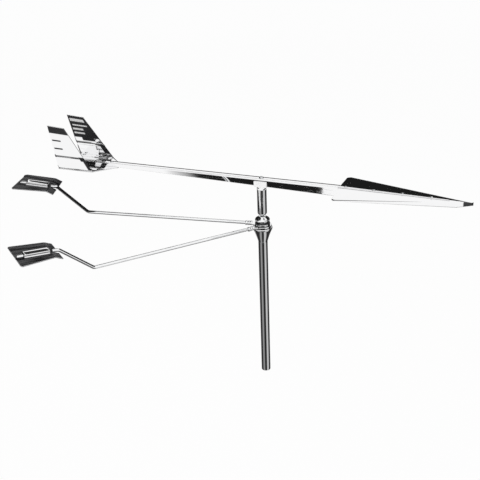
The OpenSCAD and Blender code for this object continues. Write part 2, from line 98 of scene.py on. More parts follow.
def turned(name, profile, sides=96):
    """A turned piece: each point of the profile, radius and height, is carried round the
    mast's axis, so a point is radius times cosine, radius times sine, height."""
    profile = np.asarray(profile, float)
    a = np.linspace(0, 2 * np.pi, sides, endpoint=False)
    r, z = profile[:, :1], profile[:, 1:]
    points = np.stack([r * np.cos(a), r * np.sin(a), z + 0 * a], -1)
    return mesh_piece(name, points, grid_faces(len(profile), sides, True))


def finish_piece(piece, material, body, slot, *nodes):
    """Gives a piece its material and body, and the CAD nodes that it stands for. The slot is not used.
    """
    piece.data.materials.clear()
    piece.data.materials.append(material)
    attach(piece, body)
    if nodes:
        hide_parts(*nodes)


class Wire:
    """A socket in a material. Sums and products of wires and numbers add Math nodes, and
    node() adds any other node."""

    def __init__(self, socket):
        self.socket = socket

    def node(self, kind, settings=None, values=None, out=0):
        """Adds a node of one kind: first its settings, or a ramp's stops, and then the
        values or links of its sockets. Returns a wire on one of its outputs."""
        tree = self.socket.id_data
        made = tree.nodes.new(kind)
        for name, value in (settings or {}).items():
            if name == "stops":
                while len(made.color_ramp.elements) < len(value):
                    made.color_ramp.elements.new(0.5)
                for element, (place, colour) in zip(made.color_ramp.elements, value):
                    element.position, element.color = place, colour
            else:
                setattr(made, name, value)
        for name, value in (values or {}).items():
            if isinstance(value, Wire):
                tree.links.new(value.socket, made.inputs[name])
            else:
                made.inputs[name].default_value = value
        return Wire(made.outputs[out])

    def maths(self, operation, *terms):
        """A Math node on these terms."""
        return self.node("ShaderNodeMath", {"operation": operation}, dict(enumerate(terms)))

    def __add__(self, other):
        return self.maths("ADD", self, other)

    def __sub__(self, other):
        return self.maths("SUBTRACT", self, other)

    def __rsub__(self, other):
        return self.maths("SUBTRACT", other, self)

    def __mul__(self, other):
        return self.maths("MULTIPLY", self, other)

    __radd__, __rmul__ = __add__, __mul__

    def size(self):
        """This wire's value without its sign."""
        return self.maths("ABSOLUTE", self)

    def most(self, other):
        """The larger of two values."""
        return self.maths("MAXIMUM", self, other)

    def least(self, other):
        """The smaller of two values."""
        return self.maths("MINIMUM", self, other)

    def step(self, low, high):
        """0 below low, 1 above high, and smooth between them."""
        return self.node("ShaderNodeMapRange", {"interpolation_type": "SMOOTHSTEP"},
                         {"Value": self, "From Min": low, "From Max": high})

    def noise(self, size, stretch=(1, 1, 1), detail=2.0, rough=0.55):
        """Noise whose lumps are about size millimetres across, drawn out along the axes
        by stretch. This wire holds the coordinates."""
        scaled = self.node("ShaderNodeMapping", {}, {"Vector": self, "Scale": [1 / s for s in stretch]})
        return self.node("ShaderNodeTexNoise", {},
                         {"Vector": scaled, "Scale": 1000 / size, "Detail": detail, "Roughness": rough})

    def between(self, first, second):
        """The colour that goes from first to second as this wire goes from 0 to 1."""
        return self.node("ShaderNodeMix", {"data_type": "RGBA"}, {0: self, 6: first, 7: second}, 2)

    def field(self, name):
        """A field that the mesh keeps as an attribute, as numbers."""
        return self.node("ShaderNodeAttribute", {"attribute_name": name}, out=2)


def new_material(name, **constants):
    """A Principled material with its constant sockets set, as the material, the shader's
    node and a wire on Object coordinates."""
    material = bpy.data.materials.new(name)
    material.use_nodes = True
    shader = material.node_tree.nodes["Principled BSDF"]
    for socket, value in constants.items():
        shader.inputs[socket.replace("_", " ")].default_value = value
    start = Wire(shader.outputs[0])
    return material, shader, start.node("ShaderNodeTexCoord", out=3)


def feed(shader, **wires):
    """Links wires to the shader's sockets, and a height wire through a Bump node, whose
    distance is in millimetres."""
    tree = shader.id_data
    for name, wire in wires.items():
        if name == "height":
            height, distance = wire
            wire = height.node("ShaderNodeBump", {}, {"Height": height, "Distance": distance / 1000,
                                                      "Strength": 1.0})
            name = "Normal"
        tree.links.new(wire.socket, shader.inputs[name.replace("_", " ")])


def chrome_material(name, along):
    """Chromium plate: mirror bright, with faint handling smears, sparse hair scratches
    drawn out along the part, and a slight ripple of the steel under it."""
    material, shader, place = new_material(name, Metallic=1.0, Base_Color=(0.93, 0.935, 0.94, 1))
    smear = place.noise(14, along, 3.0).step(0.42, 0.75)
    hair = place.noise(0.5, [s * 6 for s in along], 1.0).step(0.66, 0.76)
    tint = smear.between((0.94, 0.945, 0.95, 1), (0.86, 0.865, 0.875, 1))
    ripple = place.noise(9, along, 1.0)
    feed(shader, Base_Color=tint, Roughness=0.045 + smear * 0.05 + hair * 0.1,
         height=(ripple * 0.6 - hair * 0.05, 0.012))
    return material


rod_high = cad("mast_rod")[1]
cone_low, cone_high = cad("hub_cone")
rod_r = rod_high[1]
rod_top = cone_low[2]
foot_chamfer = 0.6
thread_r, thread_depth, thread_pitch, thread_deep = 2.5, 16.0, 1.0, 0.45
spigot_r = 3.0

turn_heights = np.arange(thread_depth, 1.0, -thread_pitch / 2)
thread = [[thread_r + thread_deep * (i % 2), z] for i, z in enumerate(turn_heights)]
rod_profile = np.vstack([
    [[0, thread_depth + 1.4], [thread_r, thread_depth]], thread,
    [[thread_r, 0.9], [thread_r + 0.8, 0], [rod_r - foot_chamfer - 0.1, 0]],
    arc((rod_r - foot_chamfer, foot_chamfer), foot_chamfer, -90, 0, 6),
    [[rod_r, z] for z in np.linspace(4, rod_top - 0.2, 24)],
    [[rod_r - 0.2, rod_top], [spigot_r, rod_top], [spigot_r, rod_high[2]], [0, rod_high[2]]]])
mast_rod = turned("rod_of_mast", rod_profile)
chrome_up = chrome_material("chrome_on_rod", (1, 1, 12))
finish_piece(mast_rod, chrome_up, "mast", "chrome_plate", "mast_rod")


# ---- Hub cone ----
# A turned and chromed cone that opens from the rod to a rounded rim, a little faster towards
# the rim. The headless screw in its flank locks it on the spigot.

rim_r = cone_high[1]
hub_top = cone_high[2]
rim_height = 2.2
rim_round = 0.7
flare = 0.18
flank = np.linspace(0, 1, 18)
flank_r = rod_r + 0.05 + (rim_r - 0.3 - rod_r) * ((1 - flare) * flank + flare * flank ** 3)
flank_z = rod_top + (hub_top - rim_height - rod_top) * flank
cone_profile = np.vstack([
    [[spigot_r, rod_top + 1], [spigot_r, rod_top], [rod_r - 0.15, rod_top]],
    np.stack([flank_r, flank_z], 1),
    [[rim_r - 0.05, hub_top - rim_height + 0.35]],
    arc((rim_r - rim_round, hub_top - rim_round), rim_round, 0, 90, 7),
    [[5.0, hub_top], [spigot_r, hub_top], [spigot_r, rod_top + 1]]])
hub_cone = turned("cone_of_hub", cone_profile)
finish_piece(hub_cone, chrome_up, "mast", "chrome_plate", "hub_cone")


# ---- Set screw, spindle and washers ----
# The steel set screw and needle spindle are ground bright. The three friction washers between the arms'
# eyes are nylon, punched from sheet; their near black is partly their own colour and partly painted
# shade in the gaps between the eyes.

def steel_material(name, colour, roughness):
    """Ground steel: fine turning marks around the mast's axis, seen as rings of slightly
    different gloss, over a plain metal colour."""
    material, shader, place = new_material(name, Metallic=1.0)
    rings = place.noise(0.25, (40, 40, 1), 2.0)
    tint = place.noise(3).between(colour, [c * 0.82 for c in colour[:3]] + [1])
    feed(shader, Base_Color=tint, Roughness=roughness + rings * 0.12, height=(rings, 0.01))
    return material


def clothe(node, material):
    """Gives a CAD node that keeps its shape its material."""
    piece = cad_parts[node]
    piece.data.materials.clear()
    piece.data.materials.append(material)


ground_steel = steel_material("ground_steel", (0.74, 0.75, 0.76, 1), 0.16)
screw_steel = steel_material("screw_steel", (0.42, 0.42, 0.43, 1), 0.28)
clothe("spindle", ground_steel)
clothe("cone_set_screw", screw_steel)

# Near black: the nylon's own colour, and also painted shade in the gaps between the arms' eyes.
nylon_and_gap_shade, shader, place = new_material("black_nylon_and_gap_shade", IOR=1.53)
cloud = place.noise(4, detail=3.0)
feed(shader, Base_Color=cloud.between((0.010, 0.010, 0.011, 1), (0.022, 0.022, 0.023, 1)),
     Roughness=0.36 + cloud * 0.16, height=(place.noise(0.3), 0.02))
clothe("friction_washers", nylon_and_gap_shade)


# ---- Dome nut ----
# A turned and chromed nut: a narrow waist, a round bulge and a cone that ends at the hole
# for the needle. It screws down on the spindle and sets the friction of the arms.

nut_low, nut_high = cad("dome_nut")
needle_hole_r = 1.3
bulge_round = 2.0
waist_share, crown_share, bulge_share = 0.84, 0.46, 0.46
waist_r = nut_high[1] * waist_share
bulge_z = nut_low[2] + (nut_high[2] - nut_low[2]) * bulge_share
crown_r = nut_high[1] * crown_share
nut_profile = np.vstack([
    [[needle_hole_r, nut_low[2] + 1], [needle_hole_r, nut_low[2]], [waist_r - 0.2, nut_low[2]],
     [waist_r, nut_low[2] + 0.2], [waist_r, nut_low[2] + 0.8]],
    arc((nut_high[1] - bulge_round, bulge_z), bulge_round, -50, 52, 16),
    np.stack([np.linspace(nut_high[1] - 1.4, crown_r + 0.3, 8),
              np.linspace(bulge_z + 1.95, nut_high[2] - 0.25, 8)], 1),
    [[crown_r, nut_high[2] - 0.05], [crown_r - 0.3, nut_high[2]], [needle_hole_r + 0.4, nut_high[2]],
     [needle_hole_r, nut_high[2] - 0.5], [needle_hole_r, nut_low[2] + 1]]])
dome_nut = turned("nut_of_hub", nut_profile)
finish_piece(dome_nut, chrome_up, "mast", "chrome_plate", "dome_nut")


# ---- Arm eyes ----
# Each reference arm ends in a stamped steel eye that turns between the washers: a disc that
# tapers to a ferrule, which is crimped on the rod. The eyes are chromed with their rods.

ARMS = {"port": 190.8, "starboard": 233.4}
eye_hole_r, eye_edge, eye_sheet = 2.05, 0.25, 1.6
EYE_DISC_R = {"port": 7.8, "starboard": 9.2}
taper_root = 0.56
ferrule_r, ferrule_len, ferrule_wall = 2.3, 7.0, 0.7
crimp_deep, crimp_wide, CRIMPS = 0.28, 0.5, (2.4, 4.6)
ferrule_start = rim_r + 0.4


def placed(points, azimuth):
    """Points of an arm's own frame, +X along the arm, turned about the mast's axis."""
    a = math.radians(azimuth)
    x, y, z = np.moveaxis(np.asarray(points, float), -1, 0)
    return np.stack([x * math.cos(a) - y * math.sin(a), x * math.sin(a) + y * math.cos(a), z], -1)


def eye_points(disc_r, low, high):
    """The eye: round its hole by angle, and across its rounded edge by a profile. The
    outer radius is the disc's, or the taper's where that lies further out."""
    angle = np.linspace(0, 2 * np.pi, 120, endpoint=False)
    root = np.array([taper_root * disc_r] * 2)
    tip = np.array([ferrule_start + 1, ferrule_r])
    run = tip - root
    off = np.abs(np.where(angle > np.pi, angle - 2 * np.pi, angle))
    bearing = np.cos(off) * run[1] - np.sin(off) * run[0]
    taper = (root[0] * run[1] - root[1] * run[0]) / np.where(np.abs(bearing) < 1e-6, 1e-6, bearing)
    reach = np.where(off < math.atan2(tip[1], tip[0]), tip[0] / np.cos(off),
                     np.where(off < math.pi / 4, taper, disc_r))
    outer = np.maximum(disc_r, reach)
    hole = eye_hole_r + 0 * outer
    section = [(hole, high - eye_edge), (hole + eye_edge, high), (outer - eye_edge, high),
               (outer, high - eye_edge), (outer, low + eye_edge), (outer - eye_edge, low),
               (hole + eye_edge, low), (hole, low + eye_edge), (hole, high - eye_edge)]
    return np.stack([np.stack([r * np.cos(angle), r * np.sin(angle), z + 0 * angle], -1)
                     for r, z in section])


def tube_points(path, radii, sides=24, straight=False):
    """A round tube along a path in the XZ plane: at each point a ring of that radius,
    square to the path, or to the X axis where the path is straight along it. Rings of no
    radius close its ends."""
    path = np.asarray(path, float)
    ahead = path * 0 + [1, 0] if straight else np.gradient(path, axis=0)
    ahead /= np.linalg.norm(ahead, axis=1)[:, None]
    a = np.linspace(0, 2 * np.pi, sides, endpoint=False)
    radii = np.asarray(radii, float)[:, None]
    x = path[:, :1] - ahead[:, 1:] * radii * np.sin(a)
    z = path[:, 1:] + ahead[:, :1] * radii * np.sin(a)
    return np.stack([x, radii * np.cos(a), z], -1)


def joined(*grids):
    """Points and faces of several grids, each with its own closing, as one mesh."""
    points, faces, count = [], [], 0
    for grid, around in grids:
        rows, columns = grid.shape[:2]
        points.append(grid.reshape(-1, 3))
        faces.append(grid_faces(rows, columns, around) + count)
        count += rows * columns
    return np.vstack(points), np.vstack(faces)


eye_mid = {}
for side, azimuth in ARMS.items():
    low, high = cad(f"{side}_arm_eye")
    eye_mid[side] = (low[2] + high[2]) / 2
    eye = eye_points(EYE_DISC_R[side], eye_mid[side] - eye_sheet / 2, eye_mid[side] + eye_sheet / 2)
    along = np.linspace(0, ferrule_len, 40)
    crimp = sum(crimp_deep * np.exp(-((along - at) / crimp_wide) ** 2) for at in CRIMPS)
    outside = ferrule_r - crimp - 0.25 * np.clip(1 - along / 0.4, 0, 1) ** 2 \
        - 0.3 * np.clip(1 - (ferrule_len - along) / 0.5, 0, 1) ** 2
    x = ferrule_start + np.concatenate([[0], along, [ferrule_len, ferrule_len - 1.5]])
    r = np.concatenate([[0], outside, [ferrule_r - ferrule_wall, ferrule_r - ferrule_wall - 0.01]])
    ferrule = tube_points(np.stack([x, eye_mid[side] + 0 * x], 1), r, 36, True)
    points, faces = joined((eye, True), (ferrule, True))
    piece = mesh_piece(f"{side}_eye", placed(points, azimuth), faces)
    finish_piece(piece, chrome_up, f"{side}_arm", "chrome_plate", f"{side}_arm_eye")


# ---- Arm rods ----
# Chromed round rod, bent twice: out from the hub, up a slope, and then flat along the tab.
# Under the strap, and a short way in front of it, it wears a thin black sleeve, which is painted shade
# in the slot and under the strap. Its bright end stands out past the strap.

arm_r = 1.6
bend_at, bend_level, bend_round = 183.0, 23.6, 6.0
crank_run, crank_rise = 31.0, 26.7
tab_slope, tab_twist = math.radians(5.5), math.radians(7.7)
tab_at = np.array([bend_at + crank_run, rod_top + bend_level + crank_rise])
bare_rod, strap_len, rod_past_strap = 9.0, 23.0, 6.2
shade_sleeve_before, shade_sleeve_short, shade_sleeve_wall = 3.4, 0.6, 0.04


def bent_path(corners, radius, step=2.0):
    """A path of straight stretches whose corners are rounded: each bend is an arc that
    leaves and meets its stretches at the same distance from the corner."""
    corners = [np.asarray(c, float) for c in corners]
    points = [corners[0]]
    for before, corner, after in zip(corners, corners[1:], corners[2:]):
        u = (corner - before) / np.linalg.norm(corner - before)
        v = (after - corner) / np.linalg.norm(after - corner)
        turn = math.atan2(u[0] * v[1] - u[1] * v[0], u @ v)
        back = radius * math.tan(abs(turn) / 2)
        normal = math.copysign(1, turn) * np.array([-u[1], u[0]])
        centre = corner - u * back + normal * radius
        start = math.degrees(math.atan2(*(-normal)[::-1]))
        points.extend(arc(centre, radius, start, start + math.degrees(turn), 14))
    points.append(corners[-1])
    full = [points[0]]
    for a, b in zip(points, points[1:]):
        count = max(1, int(np.linalg.norm(b - a) / step))
        full.extend(a + (b - a) * k / count for k in range(1, count + 1))
    return np.array(full)


def rounded_ends(path, radius, nose=0.5):
    """A path and radii for a bar whose ends are rounded over a short length."""
    shrink = np.array([0.0, 0.55, 0.85, 1.0])
    back = np.array([0.0, 0.1, 0.4, 1.0]) * nose
    first = (path[1] - path[0]) / np.linalg.norm(path[1] - path[0])
    last = (path[-1] - path[-2]) / np.linalg.norm(path[-1] - path[-2])
    head = path[0] + np.outer(back, first)
    tail = path[-1] - np.outer(back[::-1], last)
    return (np.vstack([head, path[1:-1], tail]),
            np.concatenate([shrink, np.ones(len(path) - 2), shrink[::-1]]) * radius)


# The sleeve's near black is painted shade: a dark sleeve where the slot and the strap's mouths lie in
# shade.
shade_sleeve_material, shader, place = new_material("black_shrink_sleeve", IOR=1.5)
grain = place.noise(0.6, detail=3.0)
feed(shader, Base_Color=grain.between((0.006, 0.006, 0.006, 1), (0.014, 0.014, 0.015, 1)),
     Roughness=0.42 + grain * 0.2, height=(grain, 0.03))

on_tab = np.array([math.cos(tab_slope), math.sin(tab_slope)])
for side, azimuth in ARMS.items():
    corners = [(ferrule_start + 1, eye_mid[side]), (bend_at, rod_top + bend_level), tab_at,
               tab_at + on_tab * (bare_rod + strap_len + rod_past_strap)]
    path, radii = rounded_ends(bent_path(corners, bend_round), arm_r)
    points = placed(tube_points(path, radii, 32), azimuth)
    piece = mesh_piece(f"{side}_rod", points, grid_faces(*points.shape[:2], True))
    finish_piece(piece, chrome_up, f"{side}_arm", "chrome_plate", f"{side}_arm_rod")
    # A black sleeve round the rod, from a little before the strap to near its end, that paints the shade
    # there.
    shade_sleeve_run = np.linspace(bare_rod - shade_sleeve_before, bare_rod + strap_len - shade_sleeve_short, 30)
    path, radii = rounded_ends(tab_at + np.outer(shade_sleeve_run, on_tab), arm_r + shade_sleeve_wall, 0.3)
    points = placed(tube_points(path, radii, 32), azimuth)
    piece = mesh_piece(f"{side}_shrink_sleeve", points, grid_faces(*points.shape[:2], True))
    finish_piece(piece, shade_sleeve_material, f"{side}_arm", "dark_enamel")


# ---- Tabs ----
# The reference tabs are sheet with a turned-down front lip, enamelled black. A long slot,
# open at the front, takes the rod. The enamel is worn to bright metal along the edges.

tab_len, tab_front, tab_end, tab_sheet = 32.8, 27.8, 33.2, 0.8
tab_aside, tab_corner = 2.1, 2.0
# How far the outer end is raked, its far edge is in, and its near edge is out, on each tab.
TAB_TRIM = {"port": (3.6, 2.6, 0.8), "starboard": (0.0, 0.0, 2.4)}
lip_len, lip_angle, lip_bend = 7.6, math.radians(21.8), 1.2
slot_half, slot_len = 1.7, 37.3


def on_arm(points):
    """Points of a tab's own frame, +X along the rod, tilted by the tab's twist and slope
    and moved to its place on the arm."""
    x, y, z = np.moveaxis(np.asarray(points, float), -1, 0)
    cos_twist, sin_twist = math.cos(tab_twist), math.sin(tab_twist)
    cos_slope, sin_slope = math.cos(tab_slope), math.sin(tab_slope)
    y, z = y * cos_twist + z * sin_twist, z * cos_twist - y * sin_twist
    x, z = x * cos_slope - z * sin_slope, x * sin_slope + z * cos_slope
    return np.stack([x + tab_at[0], y, z + tab_at[1]], -1)


def sheet_piece(name, grid, thickness, keep=None, fields=None, edge=0.14):
    """A sheet: a grid of points, or its kept cells, given a thickness downwards from its
    upper face, and its edges slightly rounded."""
    faces = grid_faces(*grid.shape[:2], False)
    piece = mesh_piece(name, grid, faces if keep is None else faces[keep.ravel()], fields)
    wall = piece.modifiers.new("thickness", "SOLIDIFY")
    wall.thickness, wall.offset = thickness / 1000, -1
    rounding = piece.modifiers.new("edges", "BEVEL")
    rounding.width, rounding.segments, rounding.limit_method = edge / 1000, 2, "ANGLE"
    rounding.angle_limit = math.radians(50)
    return piece


def tab_grid(rake, far_in, near_out):
    """The tab's upper face: x runs out along the rod and y across it, between straight
    sides that part towards the outer end, where the corners are round. In the lip the
    height falls along a short bend and then a straight slope. Towards the outer end
    the near edge runs on by the rake and moves out, and the far edge moves in."""
    run = lip_len * math.cos(lip_angle)
    round_from = run + tab_len - tab_corner
    x = np.concatenate([np.linspace(0, run - lip_bend - 0.4, 5),
                        np.linspace(run - lip_bend, run + lip_bend, 7),
                        np.linspace(run + 2, round_from, 24),
                        round_from + tab_corner * np.sin(np.radians(np.linspace(12, 90, 8)))])
    share = np.clip((x - run) / (tab_len - tab_corner), 0, 1)
    half = (tab_front + (tab_end - tab_front) * share) / 2
    into = np.clip(x - round_from, 0, tab_corner)
    half = half - tab_corner + np.sqrt(tab_corner ** 2 - into ** 2)
    bend = np.clip((run + lip_bend - x) / (2 * lip_bend), 0, 1)
    fall = math.tan(lip_angle) * np.where(x < run - lip_bend, run - x, lip_bend * bend ** 2)
    part = np.linspace(0, 1, 11)
    low = far_in * share[:, None] - half[:, None] - tab_aside
    high = near_out * share[:, None] + half[:, None] - tab_aside
    y = np.concatenate([low + (-slot_half - low) * part, slot_half + (high - slot_half) * part], 1)
    z = tab_sheet / 2 - fall[:, None] + 0 * y
    keep = np.ones((len(x) - 1, y.shape[1] - 1), bool)
    keep[:np.searchsorted(x, slot_len), len(part) - 1] = False
    inward = np.minimum(np.minimum(y - y[:, :1], y[:, -1:] - y),
                        np.minimum(x - x[0], x[-1] - x)[:, None])
    raked = x[:, None] + rake * share[:, None] * (y - low) / (high - low)
    fields = {"edge": np.exp(-inward / 0.5), "along": raked / 1000, "across": y / 1000}
    grid = np.stack([raked, y, z], -1)
    return grid[:, ::-1], keep[:, ::-1], {name: field[:, ::-1] for name, field in fields.items()}


enamel, shader, place = new_material("black_enamel", Specular_IOR_Level=0.3)
edge, along, across = [place.field(name) for name in ("edge", "along", "across")]
on_sheet = place.node("ShaderNodeCombineXYZ", {}, {"X": along, "Y": across})
chip = (edge * 0.9 + on_sheet.noise(1.2, detail=4.0) * 0.6).step(0.94, 1.12)
wipe = on_sheet.noise(3.2, (9, 1, 1), 4.0).step(0.38, 0.72)
peel = on_sheet.noise(1.6, detail=1.0)
scuff = on_sheet.noise(0.35, (5, 1, 1), 2.0).step(0.62, 0.74)
paint = wipe.between((0.002, 0.002, 0.003, 1), (0.075, 0.075, 0.078, 1))
feed(shader, Base_Color=chip.between(paint, (0.62, 0.62, 0.63, 1)),
     Metallic=chip, Roughness=0.20 + wipe * 0.30 + scuff * 0.1, height=(peel * 0.7 - chip * 0.4, 0.03))

for side, azimuth in ARMS.items():
    grid, keep, fields = tab_grid(*TAB_TRIM[side])
    grid = placed(on_arm(grid), azimuth)
    piece = sheet_piece(f"{side}_reference_tab", grid, tab_sheet, keep, fields)
    finish_piece(piece, enamel, f"{side}_arm", "dark_enamel", f"{side}_tab")


# ---- Straps ----
# A strap of bright sheet, pressed to a crowned hat over the rod and spot-welded to the tab
# beside the slot, holds each tab on its rod.

strap_half, strap_sheet, strap_foot = 3.3, 0.5, 1.0
strap_roof, strap_lean, strap_shoulder_r, strap_foot_r = arm_r + 0.65, 0.55, 0.6, 0.5
strap_crown, mouth_dip, mouth_len = 0.16, 0.25, 0.7


def sheet_metal(name, tone, roughness, along=(14, 1, 1)):
    """Polished stainless sheet: rolling lines drawn out along the part, a broad cloudiness
    of gloss, sparse fine scratches, and a slight waviness that bends reflections."""
    material, shader, place = new_material(name, Metallic=1.0)
    lines = place.noise(0.18, along, 2.0)
    cloud = place.noise(18, detail=3.0)
    scratch = place.noise(0.3, [a ** 2 / 2 + 0.5 for a in along], 1.0).step(0.68, 0.8)
    tint = (cloud * 0.6 + lines * 0.4).between([tone * 0.96] * 3 + [1], [tone, tone, tone * 1.01, 1])
    feed(shader, Base_Color=tint, Roughness=roughness + lines * 0.02 + cloud * 0.03 + scratch * 0.06,
         height=(place.noise(26, detail=1.0) * 2 + lines * 0.06 - scratch * 0.2, 0.01))
    return material


bright_sheet = sheet_metal("bright_sheet", 0.95, 0.0)


def strap_grid():
    """The strap's upper face: a hat section across, feet then flanks then a crown, which
    is swept along the rod and dips a little at both mouths."""
    root = strap_half + 0.4
    right = np.vstack([[[strap_half + strap_foot, 0.02], [root, 0.02]],
                       arc((root, strap_foot_r), strap_foot_r, -90, -165, 5),
                       arc((strap_half - strap_lean, strap_roof - strap_shoulder_r),
                           strap_shoulder_r, 14, 84, 6)])
    top = np.stack([np.linspace(right[-1, 0] - 0.3, 0, 5), np.zeros(5)], 1)
    top[:, 1] = right[-1, 1] + strap_crown * (1 - (top[:, 0] / right[-1, 0]) ** 2)
    half = np.vstack([right, top])
    section = np.vstack([half, half[-2::-1] * [-1, 1]])
    ends = np.array([0, 0.4, 1.0])
    x = np.concatenate([ends, np.linspace(2, strap_len - 2, 14), strap_len - ends[::-1]])
    mouth = mouth_dip * np.exp(-np.minimum(x, strap_len - x) / mouth_len)
    y = section[:, 0] + 0 * x[:, None]
    high = section[:, 1] > 1
    z = tab_sheet / 2 + 0.03 + np.maximum(section[:, 1] - mouth[:, None] * high, 0)
    return np.stack([x[:, None] + bare_rod + 0 * y, y, z], -1)


for side, azimuth in ARMS.items():
    grid = placed(on_arm(strap_grid()), azimuth)
    piece = sheet_piece(f"{side}_strap", grid, strap_sheet, edge=0.08)
    finish_piece(piece, bright_sheet, f"{side}_arm", "bright_sheet", f"{side}_tab_strap")


# ---- Bearing sleeve, cup and bush ----
# The vane hangs on the needle: a chromed tube necked in at its lower end, a brass cup that
# sits on the needle's point, and a nylon bush that keeps the tube upright.

sleeve_low, sleeve_high = cad("bearing_sleeve")
sleeve_wall, neck_r, neck_len = 1.0, 1.9, 3.0
sleeve_r, sleeve_bore_r = sleeve_high[1], sleeve_high[1] - sleeve_wall
neck = arc((sleeve_r - neck_len, sleeve_low[2] + neck_len), neck_len, -62, 0, 9)
sleeve_profile = np.vstack([
    [[neck_r, sleeve_low[2] + neck_len + 0.4], [neck_r, sleeve_low[2] + 0.2],
     [neck_r + 0.2, sleeve_low[2]], [neck[0, 0] - 0.3, sleeve_low[2]]],
    neck,
    [[sleeve_r, z] for z in np.linspace(sleeve_low[2] + 5, sleeve_high[2] - 0.4, 12)],
    [[sleeve_r - 0.3, sleeve_high[2]], [sleeve_bore_r, sleeve_high[2]],
     [sleeve_bore_r, sleeve_low[2] + neck_len + 0.5], [neck_r, sleeve_low[2] + neck_len + 0.4]]])
sleeve = turned("sleeve_of_vane", sleeve_profile)
finish_piece(sleeve, chrome_up, "vane", "chrome_plate", "bearing_sleeve")

clothe("guide_bush", nylon_and_gap_shade)
brass, shader, place = new_material("turned_brass", Metallic=1.0)
rings = place.noise(0.3, (30, 30, 1), 2.0)
stain = place.noise(2, detail=4.0)
feed(shader, Base_Color=stain.between((0.80, 0.58, 0.26, 1), (0.62, 0.42, 0.17, 1)),
     Roughness=0.2 + rings * 0.12, height=(rings, 0.012))
clothe("jewel_cup", brass)


# ---- Vane beam ----
# The vane's spine is one length of bright sheet folded to an inverted channel, shallow at
# the tail and deep at the nose. Ahead of the channel its top runs on as a tapered tongue.

beam_low, beam_high = cad("vane_beam")
head_low, head_high = cad("arrowhead")
plate_low, plate_high = cad("tail_plate")
beam_half, beam_top, beam_sheet = beam_high[1], beam_high[2], 0.8
fold_r, near_fold_r = 1.3, 0.35
eased, ease = 1.7, math.tan(math.radians(3.5))
tongue_inset, tongue_tip_half = 0.7, 0.4
beam_front = head_low[0] - 0.4
nose = head_high[0]
clear = 0.05
head_level_rear = beam_top - beam_sheet - clear
nose_slope = 2.0 / (nose - head_low[0])


def head_level(x):
    """The level of the head's upper face on its centre line, which falls to the nose."""
    return head_level_rear - nose_slope * (x - head_low[0])


def beam_grid():
    """The channel's outer face: its section runs up one side, round a sharper fold, across
    the top, which is eased down a little along its port edge, and down the other side. Its
    sides end where the tongue starts, and there the top narrows in a straight taper and
    follows the head's slope."""
    x_back = np.concatenate([
        [beam_low[0], beam_low[0] + 0.5], np.linspace(beam_low[0] + 2, plate_high[0], 14),
        np.linspace(plate_high[0] + 2, beam_front - 2, 60), [beam_front - 0.5, beam_front]])
    x_tongue = np.linspace(beam_front + 0.6, beam_high[0], 30)
    deep = beam_top - beam_low[2]
    shallow = beam_top - plate_high[2] - clear
    share = np.clip((x_back - plate_high[0]) / (beam_front - plate_high[0]), 0, 1)
    depth = np.concatenate([shallow + (deep - shallow) * share, np.full(len(x_tongue), deep)])
    x = np.concatenate([x_back, x_tongue])
    taper = np.clip((x - beam_front) / (beam_high[0] - beam_front), 0, 1)
    root_half = np.where(x > beam_front, beam_half - fold_r - tongue_inset, beam_half - fold_r)
    far = (root_half * (1 - taper) + tongue_tip_half * taper)[:, None]
    near = far + (fold_r - near_fold_r)
    sides = []
    for r, flat in ((near_fold_r, near), (fold_r, far)):
        fold = arc((0, 0), r, 180, 90, 6)[None, 1:-1]
        down = -r - (depth[:, None] - r) * np.array([1, 0.97, 0.6, 0.2])
        sides.append((np.concatenate([-beam_half + 0 * down, fold[..., 0] - flat], 1),
                      np.concatenate([down, fold[..., 1] - r + 0 * flat], 1)))
    across = np.linspace(-1, 1, 9)
    y_top = np.where(across < 0, near, far) * across
    y = np.concatenate([sides[0][0], y_top, -sides[1][0][:, ::-1]], 1)
    z_top = -ease * np.maximum(y_top - (far - eased), 0)
    z = np.concatenate([sides[0][1], z_top, sides[1][1][:, ::-1] - ease * eased], 1)
    drop = np.minimum(head_level(x) + clear + beam_sheet - beam_top, 0)
    side_cells = sides[0][0].shape[1]
    keep = np.ones((len(x) - 1, y.shape[1] - 1), bool)
    keep[len(x_back) - 1:, :side_cells] = False
    keep[len(x_back) - 1:, -side_cells:] = False
    points = np.stack([x[:, None] + 0 * y, y, beam_top + drop[:, None] + z], -1)
    return points[:, ::-1], keep[:, ::-1]


grid, keep = beam_grid()
vane_beam = sheet_piece("beam_of_vane", grid, beam_sheet, keep)
finish_piece(vane_beam, bright_sheet, "vane", "bright_sheet", "vane_beam")


# ---- Pivot saddle and its screw ----
# A white-coated die-cast block joins the sleeve to the beam: its cheeks grip the channel from
# outside, and a pan-head screw goes down into it through the channel's top.

clothe("saddle_screw", ground_steel)
cast, shader, place = new_material("white_coated_casting")
grit = place.noise(0.35, detail=3.0)
feed(shader, Base_Color=place.noise(5).between((0.97, 0.97, 0.97, 1), (0.93, 0.93, 0.935, 1)),
     Roughness=0.26 + grit * 0.14, height=(grit, 0.01))
clothe("pivot_saddle", cast)


# ---- Arrowhead ----
# A long triangle of bright sheet under the tongue, pressed to a very flat roof. Its sides
# are turned down to a rim that is deepest just behind the point, and the point is dipped in
# black. A dull cast weight under the nose balances the tail.

head_sheet, head_corner, head_fold_r, head_widen = 0.7, 4.0, 0.45, 0.9
roof = math.tan(math.radians(2.6))
rim_rear, rim_peak, rim_point, peak_back = 0.5, 4.5, 2.2, 15.0
rim_draft, rim_flare, dip_len = math.radians(9), 0.3, 9.0
point_half = 0.12


